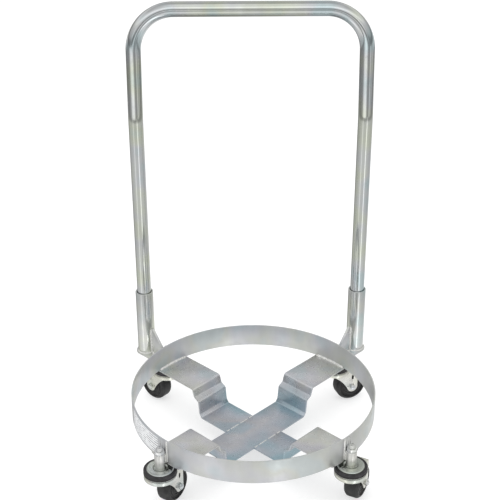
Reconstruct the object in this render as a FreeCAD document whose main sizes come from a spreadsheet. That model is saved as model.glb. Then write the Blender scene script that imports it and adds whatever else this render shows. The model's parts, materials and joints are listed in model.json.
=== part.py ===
import FreeCAD, Part
import math
import os
import Sketcher

# Drum dolly: a rolled ring on two crossed, dropped straps, with four swivel casters and a
# lift-out push handle. Millimetres. The origin is the centre of the ring at its lower edge,
# where a drum's rim sits on the straps; +Z is up and +Y points to the handle.

V = FreeCAD.Vector
UP = V(0, 0, 1)

SIZES = {
    # Ring
    "ring_bore_radius": 311.1,
    "ring_thickness": 3.2,
    "ring_height": 63.5,
    "ring_edge_break": 0.5,
    # Crossed straps, given by their bends as radius from the centre and height of the top face
    "strap_width": 101.6,
    "strap_thickness": 4.8,
    "strap_bend_radius": 6.0,
    "rim_flat_inner": 177.5,
    "upper_wall_radius": 170.5,
    "upper_wall_drop": 22.0,
    "ledge_inner": 155.0,
    "ledge_drop": 30.0,
    "lower_wall_radius": 151.0,
    "lower_wall_drop": 66.0,
    "floor_flat_outer": 143.0,
    "floor_drop": 77.0,
    # Caster stations
    "caster_radius": 328.5,
    "socket_radius": 13.3,
    "socket_hole_radius": 7.6,
    "socket_bottom": -13.5,
    "socket_top": 29.0,
    "pad_width": 20.0,
    "pad_reach": 12.0,
    "pad_overrun": 4.0,
    "pad_face_inset": 0.8,
    # Handle stations
    "handle_half_width": 294.0,
    "handle_setback": 288.0,
    "plate_thickness": 4.8,
    "plate_half_width": 29.0,
    "plate_overrun": 10.0,
    "handle_socket_radius": 24.15,
    "handle_socket_bore": 20.45,
    "handle_socket_top": 192.0,
    "gusset_thickness": 6.35,
    "gusset_low_height": 30.0,
    "gusset_high_height": 82.0,
    "gusset_top_width": 6.0,
    "gusset_inner_overrun": 1.0,
    "gusset_outer_overrun": 3.0,
    # Push handle
    "handle_tube_radius": 19.05,
    "handle_wall": 2.0,
    "handle_foot": 5.2,
    "handle_bend_height": 692.0,
    "handle_upper_length": 274.0,
    "handle_tilt": 9.0,
    "handle_tilt_radius": 120.0,
    "handle_corner_radius": 101.6,
    # Threaded stem and its nut
    "stem_radius": 7.5,
    "stem_top": 47.0,
    "stem_point": 1.2,
    "kingpin_radius": 5.0,
    "stem_shoulder": -15.5,
    "kingpin_head_radius": 9.0,
    "kingpin_head_height": 3.0,
    "kingpin_head_chamfer": 1.5,
    "kingpin_head_gap": 0.3,
    "washer_radius": 13.0,
    "washer_thickness": 1.6,
    "nut_flats": 22.2,
    "nut_height": 8.6,
    # Raceway disc
    "race_thickness": 2.0,
    "race_crown": -11.0,
    "race_recess_radius": 15.5,
    "race_slope_radius": 18.5,
    "race_flat_radius": 31.0,
    "race_rim_radius": 34.5,
    "race_rim_drop": 3.0,
    "race_lip_bottom": -17.5,
    "race_rim_round": 3.6,
    "race_rim_fall": 0.4,
    "race_bend_offset": 1.0,
    # Bumper ring
    "bumper_inner": 34.5,
    "bumper_outer": 41.5,
    "bumper_top": -14.0,
    "bumper_bottom": -26.2,
    "bumper_round": 1.6,
    # Ball race
    "ball_radius": 3.95,
    "ball_circle": 22.5,
    "ball_height": -17.0,
    # Fork
    "fork_thickness": 2.5,
    "fork_crown_top": -21.0,
    "fork_crown_radius": 33.4,
    "fork_shoulder": -26.8,
    "fork_skirt_radius": 41.0,
    "fork_skirt_bottom": -39.0,
    "fork_shoulder_fall": 1.5,
    "fork_skirt_round": 2.0,
    "fork_crown_round": 1.0,
    "fork_hole_radius": 5.06,
    "fork_leg_inside": 21.2,
    "fork_leg_end_radius": 15.0,
    "fork_leg_front": -26.0,
    "fork_leg_root": 22.0,
    "fork_corner_radius": 6.0,
    "fork_curve_radius": 120.0,
    "slot_width": 6.5,
    "slot_length": 14.0,
    "slot_rise": 33.0,
    "pip_radius": 1.6,
    "pip_back": 14.0,
    "pip_rise": 5.0,
    # Axle
    "axle_trail": 46.0,
    "axle_height": -90.0,
    "axle_radius": 4.75,
    "axle_head_flats": 14.3,
    "axle_head_height": 5.0,
    "axle_nut_height": 6.5,
    "axle_end": 1.8,
    # Wheel
    "wheel_radius": 44.45,
    "wheel_half_width": 19.0,
    "wheel_shoulder": 6.0,
    "wheel_rim_inner": 34.0,
    "wheel_recess": 4.0,
    "wheel_ridge_outer": 27.0,
    "wheel_ridge_inner": 23.5,
    "wheel_ridge_height": 1.8,
    "wheel_ridge_slope": 0.6,
    "wheel_side_slope": 1.5,
    "wheel_hub_radius": 13.0,
    "bushing_radius": 7.5,
    "bushing_bore": 4.8,
    "bushing_half_length": 20.9,
}

BALLS_PER_RACE = 15
STRAP_ANGLE = 45.0

# Unit direction, in a fork leg's plane, from the axle to where its rounded end meets its front edge.
LEG_TIP_FORWARD = 0.8
LEG_TIP_DOWN = 0.6

# How far a cutter runs past what it cuts.
CUT_MARGIN = 4.0

doc = FreeCAD.newDocument("drum_dolly")
sheet = doc.addObject("Spreadsheet::Sheet", "Sizes")


class Dim:
    """A length with its value now and the sheet expression that keeps it current."""

    def __init__(self, value, text):
        self.value = value
        self.text = text

    def _joined(self, other, sign, value):
        text = other.text if isinstance(other, Dim) else repr(float(other))
        return Dim(value, f"({self.text} {sign} {text})")

    def __add__(self, other):
        return self._joined(other, "+", self.value + number(other))

    def __sub__(self, other):
        return self._joined(other, "-", self.value - number(other))

    def __mul__(self, other):
        return self._joined(other, "*", self.value * number(other))

    def __truediv__(self, other):
        return self._joined(other, "/", self.value / number(other))

    def __neg__(self):
        return self * -1.0


def number(length):
    return length.value if isinstance(length, Dim) else float(length)


def fill_sheet():
    for row, (alias, value) in enumerate(SIZES.items(), start=1):
        sheet.set(f"A{row}", alias)
        sheet.set(f"B{row}", str(value))
        sheet.setAlias(f"B{row}", alias)
    doc.recompute()
    return {alias: Dim(float(sheet.get(alias)), f"Sizes.{alias}") for alias in SIZES}


S = fill_sheet()
PARTS = []


def bind(obj, prop, length):
    """Set a property from the sheet, and keep it tied to the sheet."""
    if isinstance(length, Dim):
        obj.setExpression(prop, length.text)
    else:
        setattr(obj, prop, length)


def keep(obj, label, placement=None):
    """Name a finished sub-part and put it in the list of parts to write."""
    obj.Label = label
    if placement:
        obj.Placement = placement
    PARTS.append(obj)
    return obj


def turned(angle, radius=0.0, height=0.0):
    """A placement turned about +Z by angle, moved out along its own X by radius."""
    turn = FreeCAD.Rotation(UP, angle)
    return FreeCAD.Placement(turn.multVec(V(radius, 0, height)), turn)


# ---------------------------------------------------------------- sketches


def new_body(name):
    return doc.addObject("PartDesign::Body", name)


def origin_plane(body, role):
    return [f for f in body.Origin.OriginFeatures if f.Role == role][0]


def new_sketch(body, name, role):
    sketch = body.newObject("Sketcher::SketchObject", name)
    sketch.AttachmentSupport = [(origin_plane(body, role), "")]
    sketch.MapMode = "FlatFace"
    return sketch


def fix(sketch, kind, *where):
    """Add a dimension to a sketch; the last item is the length it is tied to."""
    length = where[-1]
    index = sketch.addConstraint(Sketcher.Constraint(kind, *where[:-1], number(length)))
    if isinstance(length, Dim):
        sketch.setExpression(f"Constraints[{index}]", length.text)


def circle(sketch, x, y, radius):
    index = sketch.addGeometry(Part.Circle(V(number(x), number(y), 0), UP, number(radius)), False)
    fix(sketch, "DistanceX", index, 3, x)
    fix(sketch, "DistanceY", index, 3, y)
    fix(sketch, "Radius", index, radius)


def arc_between(start, end, radius):
    """The short arc from start to end; a positive radius bulges to the left of the chord."""
    chord = end - start
    side = math.copysign(1.0, radius)
    left = V(-chord.y, chord.x, 0).normalize() * side
    sagitta = abs(radius) - math.sqrt(radius * radius - chord.Length * chord.Length / 4)
    middle = (start + end) * 0.5 + left * sagitta
    return Part.ArcOfCircle(start, middle, end)


def outline(sketch, corners, arcs=None):
    """A closed outline through corners. arcs maps a corner's index to the radius of the arc
    that leaves it; every other side is straight."""
    arcs = arcs or {}
    points = [V(number(x), number(y), 0) for x, y in corners]
    first_ends = []
    for index, start in enumerate(points):
        end = points[(index + 1) % len(points)]
        if index in arcs:
            side = sketch.addGeometry(arc_between(start, end, number(arcs[index])), False)
            near = sketch.getPoint(side, 1).distanceToPoint(start)
            first_ends.append((side, 1 if near < 1e-6 else 2))
        else:
            side = sketch.addGeometry(Part.LineSegment(start, end), False)
            first_ends.append((side, 1))
    for index, (side, near) in enumerate(first_ends):
        following, follow_near = first_ends[(index + 1) % len(points)]
        sketch.addConstraint(
            Sketcher.Constraint("Coincident", side, 3 - near, following, follow_near)
        )
    for index, (side, near) in enumerate(first_ends):
        fix(sketch, "DistanceX", side, near, corners[index][0])
        fix(sketch, "DistanceY", side, near, corners[index][1])
        if index in arcs:
            radius = arcs[index]
            fix(sketch, "Radius", side, -radius if number(radius) < 0 else radius)


def revolved(name, profile, arcs=None):
    """A turned piece: profile is its (radius, height) outline, spun about +Z."""
    body = new_body(name)
    sketch = new_sketch(body, name + "_profile", "XZ_Plane")
    outline(sketch, profile, arcs)
    turn = body.newObject("PartDesign::Revolution", name + "_turned")
    turn.Profile = sketch
    turn.ReferenceAxis = (sketch, ["V_Axis"])
    turn.Angle = 360
    return body


def pad(body, sketch, length, symmetric=False):
    feature = body.newObject("PartDesign::Pad", sketch.Name + "_pad")
    feature.Profile = sketch
    feature.SideType = "Symmetric" if symmetric else "One side"
    bind(feature, "Length", length)
    return feature


def pocket(body, sketch, length, symmetric=False):
    feature = body.newObject("PartDesign::Pocket", sketch.Name + "_cut")
    feature.Profile = sketch
    feature.SideType = "Symmetric" if symmetric else "One side"
    bind(feature, "Length", length)
    return feature


def cylinder(name, radius, height, placement=None):
    solid = doc.addObject("Part::Cylinder", name)
    bind(solid, "Radius", radius)
    bind(solid, "Height", height)
    if placement:
        solid.Placement = placement
    return solid


def cut(name, base, tool):
    feature = doc.addObject("Part::Cut", name)
    feature.Base = base
    feature.Tool = tool
    return feature


def hexagon(name, flats, height, hole_radius, placement):
    """A hexagonal nut with chamfered corners; its axis is the placement's Z."""
    prism = doc.addObject("Part::Prism", name + "_prism")
    prism.Polygon = 6
    bind(prism, "Circumradius", flats / math.sqrt(3.0))
    bind(prism, "Height", height)
    cone = revolved(
        name + "_corners",
        [
            (0.0, 0.0),
            (flats * 0.5, 0.0),
            (flats * 0.58, height * 0.14),
            (flats * 0.58, height * 0.86),
            (flats * 0.5, height),
            (0.0, height),
        ],
    )
    blank = doc.addObject("Part::Common", name + "_blank")
    blank.Base = prism
    blank.Tool = cone
    if hole_radius is None:
        blank.Placement = placement
        return blank
    nut = cut(name, blank, cylinder(name + "_hole", hole_radius, height))
    nut.Placement = placement
    return nut


# ---------------------------------------------------------------- bent strip and tube


def rounded_path(points, radii):
    """A wire through points, each inner corner rounded by its radius."""
    edges = []
    start = points[0]
    for index in range(1, len(points) - 1):
        before, here, after = points[index - 1], points[index], points[index + 1]
        back = (before - here).normalize()
        ahead = (after - here).normalize()
        half = back.getAngle(ahead) / 2
        trim = radii[index - 1] / math.tan(half)
        bisector = (back + ahead).normalize()
        middle = here + bisector * (radii[index - 1] / math.sin(half) - radii[index - 1])
        arc_start = here + back * trim
        arc_end = here + ahead * trim
        edges.append(Part.LineSegment(start, arc_start).toShape())
        edges.append(Part.Arc(arc_start, middle, arc_end).toShape())
        start = arc_end
    edges.append(Part.LineSegment(start, points[-1]).toShape())
    return Part.Wire(edges)


def strap_arm_bends():
    """The strap's corners from the ring inward, along its top face, as (radius, height)."""
    return [
        (number(S["rim_flat_inner"]), 0.0),
        (number(S["upper_wall_radius"]), -number(S["upper_wall_drop"])),
        (number(S["ledge_inner"]), -number(S["ledge_drop"])),
        (number(S["lower_wall_radius"]), -number(S["lower_wall_drop"])),
        (number(S["floor_flat_outer"]), -number(S["floor_drop"])),
    ]


def strap_shape(inner_radius):
    """A strap along X. With inner_radius None it runs right across; otherwise it is one arm,
    from the ring in to that radius."""
    thickness = number(S["strap_thickness"])
    width = number(S["strap_width"])
    outer = number(S["ring_bore_radius"]) + number(S["ring_thickness"])
    bend = number(S["strap_bend_radius"])
    arm = [V(radius, 0, height) for radius, height in strap_arm_bends()]
    points = [V(outer, 0, 0)] + arm
    if inner_radius is None:
        points += [V(-p.x, 0, p.z) for p in reversed(points)]
    else:
        points.append(V(inner_radius, 0, arm[-1].z))
    middle_plane = V(0, 0, -thickness / 2)
    path = rounded_path([p + middle_plane for p in points], [bend] * (len(points) - 2))
    half = width / 2
    section = Part.makePolygon([
        V(outer, -half, 0),
        V(outer, half, 0),
        V(outer, half, -thickness),
        V(outer, -half, -thickness),
        V(outer, -half, 0),
    ])
    strip = path.makePipeShell([section], True, True)
    ring_disc = Part.makeCylinder(outer, 200, V(0, 0, -150))
    return strip.common(ring_disc)


def handle_shape():
    """The push handle: one tube, up, back a little, and over, bent as a U."""
    half_width = number(S["handle_half_width"])
    setback = number(S["handle_setback"])
    tilt = math.radians(number(S["handle_tilt"]))
    upper = number(S["handle_upper_length"])
    bend_z = number(S["handle_bend_height"])
    foot = number(S["handle_foot"])
    top_y = setback + upper * math.sin(tilt)
    top_z = bend_z + upper * math.cos(tilt)
    points = [
        V(-half_width, setback, foot),
        V(-half_width, setback, bend_z),
        V(-half_width, top_y, top_z),
        V(half_width, top_y, top_z),
        V(half_width, setback, bend_z),
        V(half_width, setback, foot),
    ]
    corner = number(S["handle_corner_radius"])
    set_bend = number(S["handle_tilt_radius"])
    path = rounded_path(points, [set_bend, corner, corner, set_bend])
    outer_radius = number(S["handle_tube_radius"])

    def swept(radius):
        ring = Part.Wire(Part.makeCircle(radius, points[0], UP))
        return path.makePipeShell([ring], True, True)

    return swept(outer_radius).cut(swept(outer_radius - number(S["handle_wall"])))


def shaped(label, shape, placement=None):
    """A sub-part whose bent shape is swept directly."""
    feature = doc.addObject("Part::Feature", label)
    feature.Shape = shape
    return keep(feature, label, placement)


# ---------------------------------------------------------------- ring and straps

ring_outer = S["ring_bore_radius"] + S["ring_thickness"]


def make_ring():
    body = new_body("ring")
    sketch = new_sketch(body, "ring_plan", "XY_Plane")
    circle(sketch, 0.0, 0.0, ring_outer)
    circle(sketch, 0.0, 0.0, S["ring_bore_radius"])
    band = pad(body, sketch, S["ring_height"])
    doc.recompute()
    top = number(S["ring_height"])
    broken = []
    for index, edge in enumerate(band.Shape.Edges, start=1):
        if not isinstance(edge.Curve, Part.Circle):
            continue
        at_top = abs(edge.Curve.Center.z - top) < 1e-6
        at_outside = abs(edge.Curve.Radius - number(ring_outer)) < 1e-6
        if at_top or at_outside:
            broken.append(f"Edge{index}")
    chamfer = body.newObject("PartDesign::Chamfer", "ring_edge_chamfer")
    chamfer.Base = (band, broken)
    bind(chamfer, "Size", S["ring_edge_break"])
    keep(body, "ring_band")


def make_straps():
    half_strap = number(S["strap_width"]) / 2
    shaped("cross_strap_long", strap_shape(None), turned(STRAP_ANGLE))
    shaped("cross_strap_rear_left", strap_shape(half_strap), turned(180 - STRAP_ANGLE))
    shaped("cross_strap_front_right", strap_shape(half_strap), turned(-STRAP_ANGLE))


# ---------------------------------------------------------------- stations round the ring

rear_angle = math.degrees(math.atan2(number(S["handle_setback"]), number(S["handle_half_width"])))
handle_radius = math.hypot(number(S["handle_setback"]), number(S["handle_half_width"]))

# Name of each corner: the direction it lies in, and the direction its caster trails in.
STATIONS = {
    "front_left": (180 + STRAP_ANGLE, 57.0),
    "front_right": (-STRAP_ANGLE, 62.0),
    "rear_left": (180 - rear_angle, 138.0),
    "rear_right": (rear_angle, 20.0),
}


def make_caster_socket(corner, angle):
    socket = cut(
        "caster_socket_" + corner,
        cylinder("socket_wall_" + corner, S["socket_radius"], S["socket_top"] - S["socket_bottom"]),
        cylinder("socket_hole_" + corner, S["socket_hole_radius"],
                 S["socket_top"] - S["socket_bottom"]),
    )
    station = turned(angle, number(S["caster_radius"]), number(S["socket_bottom"]))
    keep(socket, "caster_socket_" + corner, station)


def make_pad(corner, angle):
    """The filler plate between the ring and a front caster socket."""
    plate = doc.addObject("Part::Box", "pad_block_" + corner)
    bind(plate, "Length", S["pad_reach"])
    bind(plate, "Width", S["pad_width"])
    bind(plate, "Height", S["ring_height"])
    plate.Placement = FreeCAD.Placement(
        V(number(ring_outer) - number(S["pad_overrun"]), -number(S["pad_width"]) / 2, 0), FreeCAD.Rotation()
    )
    ring_side = cut(
        "pad_ring_side_" + corner,
        plate,
        cylinder("pad_ring_" + corner, ring_outer, S["ring_height"]),
    )
    socket_middle = V(number(S["caster_radius"]), 0, 0)
    socket_side = cut(
        "pad_socket_side_" + corner,
        ring_side,
        cylinder("pad_socket_" + corner, S["socket_radius"], S["ring_height"],
                 FreeCAD.Placement(socket_middle, FreeCAD.Rotation())),
    )
    face = doc.addObject("Part::Box", "pad_face_" + corner)
    bind(face, "Length", S["pad_reach"])
    bind(face, "Width", S["pad_width"])
    bind(face, "Height", S["ring_height"])
    face.Placement = FreeCAD.Placement(
        V(number(S["caster_radius"] - S["socket_radius"] + S["pad_face_inset"]),
          -number(S["pad_width"]) / 2, 0),
        FreeCAD.Rotation(),
    )
    keep(cut("pad_" + corner, socket_side, face), "socket_pad_" + corner, turned(angle))


def make_base_plate(corner, angle):
    """The flat plate from the ring out to a handle socket, with its outer end rounded."""
    body = new_body("base_plate_body_" + corner)
    sketch = new_sketch(body, "base_plate_plan_" + corner, "XY_Plane")
    half = S["plate_half_width"]
    outline(
        sketch,
        [
            (S["ring_bore_radius"] - S["plate_overrun"], -half),
            (handle_radius, -half),
            (half + handle_radius, 0.0),
            (handle_radius, half),
            (S["ring_bore_radius"] - S["plate_overrun"], half),
        ],
        {1: -half, 2: -half},
    )
    pad(body, sketch, S["plate_thickness"])
    holes = new_sketch(body, "base_plate_holes_" + corner, "XY_Plane")
    circle(holes, 0.0, 0.0, ring_outer)
    circle(holes, S["caster_radius"], 0.0, S["socket_radius"])
    cutter = pocket(body, holes, S["plate_thickness"])
    cutter.Reversed = True
    keep(body, "handle_base_plate_" + corner, turned(angle))


def make_gusset(corner, angle):
    """The upright web that ties a caster socket to a handle socket."""
    body = new_body("gusset_body_" + corner)
    sketch = new_sketch(body, "gusset_side_" + corner, "XZ_Plane")
    inner = S["caster_radius"] + S["socket_radius"] - S["gusset_inner_overrun"]
    outer = handle_radius - number(S["handle_socket_radius"])
    buried = outer + number(S["gusset_outer_overrun"])
    outline(
        sketch,
        [
            (inner, S["plate_thickness"]),
            (buried, S["plate_thickness"]),
            (buried, S["gusset_high_height"]),
            (outer - number(S["gusset_top_width"]), S["gusset_high_height"]),
            (inner, S["gusset_low_height"]),
        ],
    )
    pad(body, sketch, S["gusset_thickness"], symmetric=True)
    round_cuts = new_sketch(body, "gusset_ends_" + corner, "XY_Plane")
    circle(round_cuts, S["caster_radius"], 0.0, S["socket_radius"])
    circle(round_cuts, handle_radius, 0.0, S["handle_socket_radius"])
    cutter = pocket(body, round_cuts, S["gusset_high_height"])
    cutter.Reversed = True
    keep(body, "handle_gusset_" + corner, turned(angle))


def make_handle_socket(corner, angle):
    height = S["handle_socket_top"] - S["plate_thickness"]
    socket = cut(
        "handle_socket_tube_" + corner,
        cylinder("handle_socket_wall_" + corner, S["handle_socket_radius"], height),
        cylinder("handle_socket_hole_" + corner, S["handle_socket_bore"], height),
    )
    station = turned(angle, handle_radius, number(S["plate_thickness"]))
    keep(socket, "handle_socket_" + corner, station)


# ---------------------------------------------------------------- casters


def make_stem(corner, station):
    """The threaded stem, with the kingpin and riveted head that the fork hangs on."""
    shoulder = S["stem_shoulder"]
    chamfer = S["kingpin_head_chamfer"]
    head_top = S["fork_crown_top"] - S["fork_thickness"] - S["kingpin_head_gap"]
    head_bottom = head_top - S["kingpin_head_height"]
    body = revolved(
        "stem_" + corner,
        [
            (0.0, head_bottom),
            (S["kingpin_head_radius"] - chamfer, head_bottom),
            (S["kingpin_head_radius"], head_bottom + chamfer),
            (S["kingpin_head_radius"], head_top),
            (S["kingpin_radius"], head_top),
            (S["kingpin_radius"], shoulder),
            (S["stem_radius"], shoulder),
            (S["stem_radius"], S["stem_top"] - S["stem_point"]),
            (S["stem_radius"] - S["stem_point"], S["stem_top"]),
            (0.0, S["stem_top"]),
        ],
    )
    keep(body, "caster_stem_" + corner, station)


def make_race_disc(corner, station):
    """The pressed disc above the balls, dished round the stem and lipped at its rim."""
    gauge = S["race_thickness"]
    recess = S["socket_bottom"]
    rim_top = S["race_crown"] - S["race_rim_drop"]
    bend = S["race_bend_offset"]
    body = revolved(
        "race_disc_" + corner,
        [
            (S["stem_radius"], recess - gauge),
            (S["race_recess_radius"] + bend, recess - gauge),
            (S["race_slope_radius"] + bend, S["race_crown"] - gauge),
            (S["race_flat_radius"] - bend, S["race_crown"] - gauge),
            (S["race_rim_radius"] - gauge, rim_top),
            (S["race_rim_radius"] - gauge, S["race_lip_bottom"]),
            (S["race_rim_radius"], S["race_lip_bottom"]),
            (S["race_rim_radius"], rim_top),
            (S["race_flat_radius"] + S["race_rim_fall"], S["race_crown"]),
            (S["race_slope_radius"], S["race_crown"]),
            (S["race_recess_radius"], recess),
            (S["stem_radius"], recess),
        ],
        {7: S["race_rim_round"]},
    )
    keep(body, "caster_race_disc_" + corner, station)


def make_bumper(corner, station):
    """The soft ring round the race, which also keeps grit out of the balls."""
    edge = S["bumper_round"]
    body = revolved(
        "bumper_" + corner,
        [
            (S["bumper_inner"], S["bumper_bottom"]),
            (S["bumper_outer"] - edge, S["bumper_bottom"]),
            (S["bumper_outer"], S["bumper_bottom"] + edge),
            (S["bumper_outer"], S["bumper_top"] - edge),
            (S["bumper_outer"] - edge, S["bumper_top"]),
            (S["bumper_inner"] + edge, S["bumper_top"]),
            (S["bumper_inner"], S["bumper_top"] - edge),
        ],
        {1: -edge, 3: -edge, 5: -edge},
    )
    keep(body, "caster_bumper_ring_" + corner, station)


def make_fork(corner, station):
    gauge = S["fork_thickness"]
    top = S["fork_crown_top"]
    crown = S["fork_crown_radius"]
    skirt = S["fork_skirt_radius"]
    shoulder = S["fork_shoulder"]
    fall = S["fork_shoulder_fall"]
    skirt_round = S["fork_skirt_round"]
    crown_round = S["fork_crown_round"]
    body = revolved(
        "fork_" + corner,
        [
            (S["fork_hole_radius"], top - gauge),
            (crown - gauge, top - gauge),
            (crown - gauge, shoulder - gauge),
            (skirt - gauge, shoulder - gauge - fall),
            (skirt - gauge, S["fork_skirt_bottom"]),
            (skirt, S["fork_skirt_bottom"]),
            (skirt, shoulder - skirt_round),
            (skirt - skirt_round, shoulder),
            (crown, shoulder),
            (crown, top - crown_round),
            (crown - crown_round, top),
            (S["fork_hole_radius"], top),
        ],
        {6: skirt_round, 9: crown_round},
    )
    end = S["fork_leg_end_radius"]
    trail = S["axle_trail"]
    axle = S["axle_height"]
    back = trail + end
    root = S["fork_leg_root"]
    front = S["fork_leg_front"]
    corner_round = S["fork_corner_radius"]
    legs = new_sketch(body, "fork_legs_" + corner, "XZ_Plane")
    outline(
        legs,
        [
            (-root, top - gauge),
            (root, top - gauge),
            (root, shoulder),
            (back - corner_round, shoulder),
            (back, shoulder - corner_round),
            (back, axle),
            (trail, axle - end),
            (trail - end * LEG_TIP_FORWARD, axle - end * LEG_TIP_DOWN),
            (front, S["fork_skirt_bottom"]),
            (front, shoulder),
            (-root, shoulder),
        ],
        {3: corner_round, 5: end, 6: end, 7: -S["fork_curve_radius"]},
    )
    pad(body, legs, (S["fork_leg_inside"] + gauge) * 2.0, symmetric=True)
    inside = new_sketch(body, "fork_inside_" + corner, "XZ_Plane")
    below = axle - end * 2.0
    ahead = front - CUT_MARGIN
    behind = back + CUT_MARGIN
    outline(
        inside,
        [
            (ahead, below),
            (behind, below),
            (behind, shoulder - gauge),
            (root, shoulder - gauge),
            (root, top - gauge),
            (-root, top - gauge),
            (-root, shoulder - gauge),
            (ahead, shoulder - gauge),
        ],
    )
    pocket(body, inside, S["fork_leg_inside"] * 2.0, symmetric=True)
    holes = new_sketch(body, "fork_holes_" + corner, "XZ_Plane")
    circle(holes, trail, axle, S["axle_radius"])
    slot_half = S["slot_width"] / 2.0
    slot_foot = axle + S["slot_rise"] - S["slot_length"] / 2.0 + slot_half
    slot_head = slot_foot + S["slot_length"] - S["slot_width"]
    outline(
        holes,
        [
            (trail - slot_half, slot_foot),
            (trail, slot_foot - slot_half),
            (trail + slot_half, slot_foot),
            (trail + slot_half, slot_head),
            (trail, slot_head + slot_half),
            (trail - slot_half, slot_head),
        ],
        {0: -slot_half, 1: -slot_half, 3: -slot_half, 4: -slot_half},
    )
    circle(holes, trail - S["pip_back"], axle + S["pip_rise"], S["pip_radius"])
    pocket(body, holes, (S["fork_leg_inside"] + gauge + CUT_MARGIN) * 2.0, symmetric=True)
    keep(body, "caster_fork_" + corner, station)


def axle_frame(station, along):
    """A placement on the axle line, its Z along the axle, shifted along it."""
    across = FreeCAD.Rotation(UP, V(0, 1, 0))
    local = FreeCAD.Placement(V(number(S["axle_trail"]), along, number(S["axle_height"])), across)
    return station.multiply(local)


def make_axle(corner, station):
    outside = S["fork_leg_inside"] + S["fork_thickness"]
    length = outside * 2.0 + S["axle_nut_height"] + S["axle_end"]
    bolt = doc.addObject("Part::Fuse", "axle_" + corner)
    shank = cylinder("axle_shank_" + corner, S["axle_radius"], length)
    head = hexagon(
        "axle_head_" + corner,
        S["axle_head_flats"],
        S["axle_head_height"],
        None,
        FreeCAD.Placement(V(0, 0, -number(S["axle_head_height"])), FreeCAD.Rotation()),
    )
    bolt.Base = shank
    bolt.Tool = head
    facing = FreeCAD.Placement(V(0, 0, 0), FreeCAD.Rotation(V(1, 0, 0), 180))
    keep(bolt, "axle_bolt_" + corner, axle_frame(station, number(outside)).multiply(facing))
    nut = hexagon(
        "axle_nut_" + corner,
        S["axle_head_flats"],
        S["axle_nut_height"],
        S["axle_radius"],
        axle_frame(station, -number(outside)).multiply(facing),
    )
    keep(nut, "axle_nut_" + corner, nut.Placement)


def make_wheel(corner, station):
    """The moulded wheel, turned about its axle: rounded tread edges, recessed side faces with
    one raised ridge, and a hub that runs out to the forks."""
    wide = S["wheel_half_width"]
    edge = S["wheel_shoulder"]
    web = wide - S["wheel_recess"]
    ridge = web + S["wheel_ridge_height"]
    rim = S["wheel_radius"]
    side = [
        (S["bushing_radius"], wide),
        (S["wheel_hub_radius"] - S["wheel_side_slope"], wide),
        (S["wheel_hub_radius"], web),
        (S["wheel_ridge_inner"], web),
        (S["wheel_ridge_inner"] + S["wheel_ridge_slope"], ridge),
        (S["wheel_ridge_outer"] - S["wheel_ridge_slope"], ridge),
        (S["wheel_ridge_outer"], web),
        (S["wheel_rim_inner"], web),
        (S["wheel_rim_inner"] + S["wheel_side_slope"], wide),
        (rim - edge, wide),
        (rim, wide - edge),
    ]
    far_side = [(radius, -across) for radius, across in reversed(side)]
    shoulder = len(side) - 2
    wheel = revolved("wheel_" + corner, side + far_side, {shoulder: edge, shoulder + 2: edge})
    keep(wheel, "wheel_" + corner, axle_frame(station, 0))
    half = S["bushing_half_length"]
    bushing = revolved(
        "bushing_" + corner,
        [
            (S["bushing_bore"], -half),
            (S["bushing_radius"], -half),
            (S["bushing_radius"], half),
            (S["bushing_bore"], half),
        ],
    )
    keep(bushing, "wheel_bushing_" + corner, axle_frame(station, 0))


def make_casters():
    for corner, (angle, trail_direction) in STATIONS.items():
        spot = turned(angle, number(S["caster_radius"]))
        station = FreeCAD.Placement(spot.Base, FreeCAD.Rotation(UP, trail_direction))
        make_stem(corner, station)
        make_race_disc(corner, station)
        make_bumper(corner, station)
        make_fork(corner, station)
        make_axle(corner, station)
        make_wheel(corner, station)


def group(label, members):
    compound = doc.addObject("Part::Compound", label)
    compound.Links = members
    return keep(compound, label)


def make_ball_races():
    balls = []
    for corner, (angle, _) in STATIONS.items():
        middle = turned(angle, number(S["caster_radius"])).Base
        for step in range(BALLS_PER_RACE):
            around = 360.0 * step / BALLS_PER_RACE
            ball = doc.addObject("Part::Sphere", f"ball_{corner}_{step}")
            bind(ball, "Radius", S["ball_radius"])
            spot = turned(around, number(S["ball_circle"]), number(S["ball_height"])).Base
            ball.Placement = FreeCAD.Placement(middle + spot, FreeCAD.Rotation())
            balls.append(ball)
    group("swivel_balls", balls)


def make_stem_fasteners():
    washers = []
    nuts = []
    for corner, (angle, _) in STATIONS.items():
        seat = turned(angle, number(S["caster_radius"]), number(S["socket_top"]))
        washer = cut(
            "washer_" + corner,
            cylinder("washer_disc_" + corner, S["washer_radius"], S["washer_thickness"]),
            cylinder("washer_hole_" + corner, S["stem_radius"], S["washer_thickness"]),
        )
        washer.Placement = seat
        washers.append(washer)
        above = turned(angle, number(S["caster_radius"]),
                       number(S["socket_top"]) + number(S["washer_thickness"]))
        nuts.append(
            hexagon("stem_nut_" + corner, S["nut_flats"], S["nut_height"], S["stem_radius"], above)
        )
    group("stem_washers", washers)
    group("stem_nuts", nuts)


def make_frame():
    make_ring()
    make_straps()
    for corner, (angle, _) in STATIONS.items():
        make_caster_socket(corner, angle)
        if corner.startswith("front"):
            make_pad(corner, angle)
        else:
            make_base_plate(corner, angle)
            make_gusset(corner, angle)
            make_handle_socket(corner, angle)


def check_model():
    for obj in doc.Objects:
        if "Invalid" in obj.State or "Error" in obj.State:
            raise RuntimeError(f"{obj.Name} did not build: {obj.State}")
    for part in PARTS:
        if part.Shape.isNull() or not part.Shape.isValid():
            raise RuntimeError(f"{part.Label} has no valid shape")


def write_parts():
    os.makedirs("parts", exist_ok=True)
    for part in PARTS:
        part.Shape.exportStep(f"parts/{part.Label}.step")
        print(f"{part.Label}: {len(part.Shape.Solids)} solid(s), {part.Shape.Volume:.0f} mm3")


make_frame()
shaped("push_handle", handle_shape())
make_casters()
make_ball_races()
make_stem_fasteners()
doc.recompute()
check_model()
write_parts()
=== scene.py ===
import json
import math
import random

import bmesh
import bpy
from mathutils import Matrix, Vector

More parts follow.
